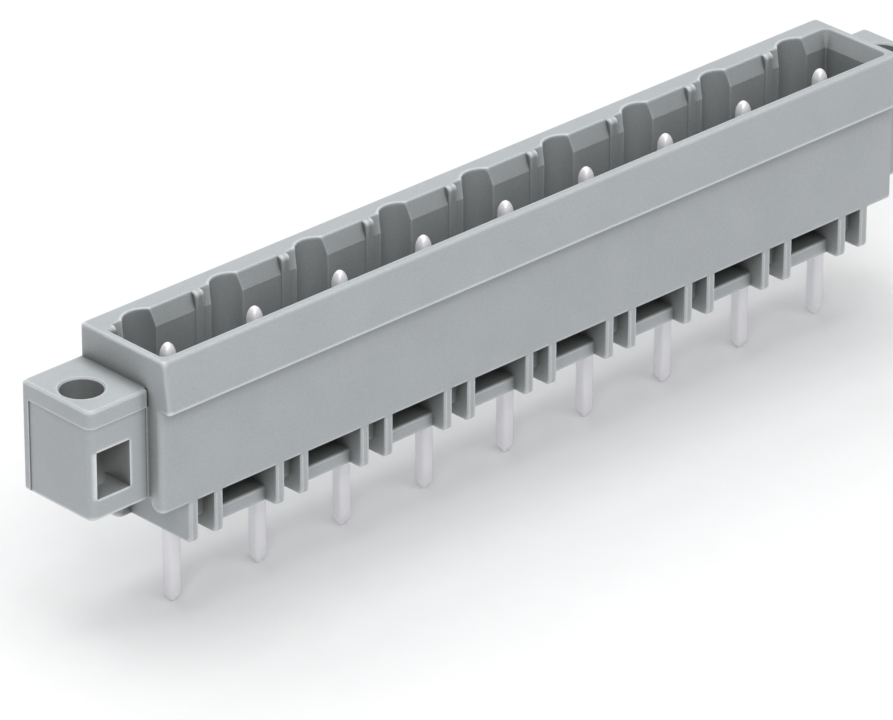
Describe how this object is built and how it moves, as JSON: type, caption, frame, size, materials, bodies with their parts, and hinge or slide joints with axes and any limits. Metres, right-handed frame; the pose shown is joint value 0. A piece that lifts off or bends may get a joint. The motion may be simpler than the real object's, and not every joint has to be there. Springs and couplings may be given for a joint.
{
  "type": "through-hole connector",
  "caption": "Straight pin header for a circuit board, with an open plastic shroud, square through-hole pins and a screw flange at each end.",
  "frame": {"origin": "on the board's face, on the axis of the middle pin of the row", "axes": "+Z away from the board along the contact pins; X along the row of pins; the skirt of the shroud is on the -Y side, and each coding rib lies on the -X side of its pin"},
  "size_m": [0.0776, 0.0085, 0.0201],
  "materials": {
    "housing_plastic": "fine satin moulding, light grey",
    "pin_metal": "bright tin plating"
  },
  "bodies": {
    "root": {"housing": "housing_plastic", "pin_1": "pin_metal", "pin_2": "pin_metal", "pin_3": "pin_metal", "pin_4": "pin_metal", "pin_5": "pin_metal", "pin_6": "pin_metal", "pin_7": "pin_metal", "pin_8": "pin_metal", "pin_9": "pin_metal"}
  },
  "joints": []
}
